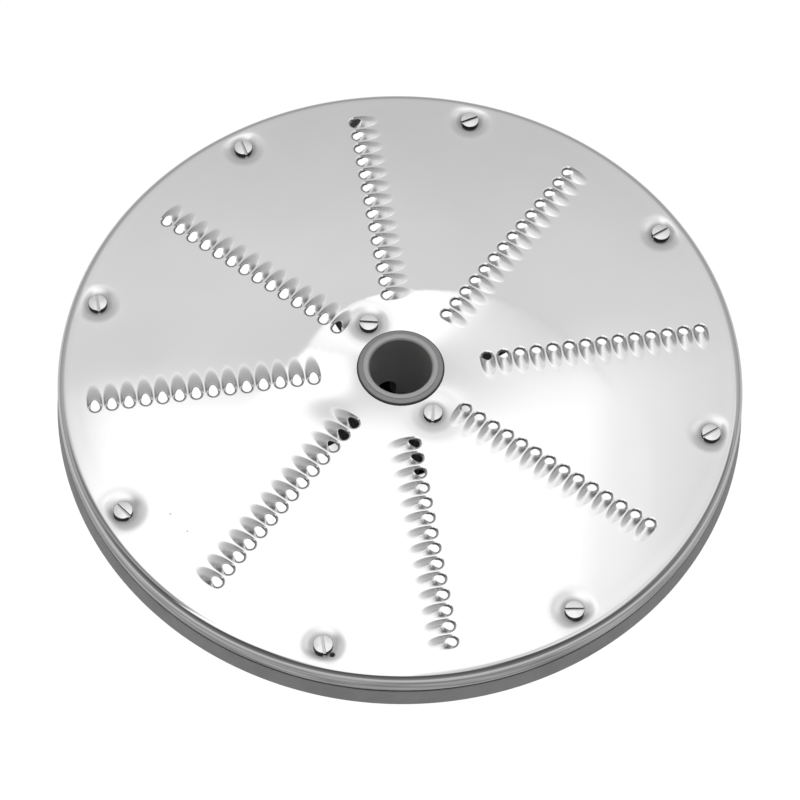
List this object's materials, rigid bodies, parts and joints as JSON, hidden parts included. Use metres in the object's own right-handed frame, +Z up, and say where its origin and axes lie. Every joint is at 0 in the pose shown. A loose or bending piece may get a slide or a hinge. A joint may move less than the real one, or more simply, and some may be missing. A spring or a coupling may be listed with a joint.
{
  "type": "food processor disc",
  "caption": "Round grating disc of a vegetable cutter: a stainless sheet with radial rows of hooded teeth, screwed to a spoked aluminium carrier with a bored hub.",
  "frame": {"origin": "on the bore axis, at the hub's lower face", "axes": "+Z up along the bore, out of the grating face; spokes along X and Y, with the hub screws and the drive slot on Y"},
  "size_m": [0.2074, 0.2074, 0.0345],
  "materials": {
    "casting": "matt casting, turned on the collar",
    "sheet": "polished pressed sheet with fine wear marks",
    "screws": "plain bright"
  },
  "bodies": {
    "root": {"carrier": "casting", "grating_plate": "sheet", "rim_screws": "screws", "hub_screws": "screws"}
  },
  "joints": []
}
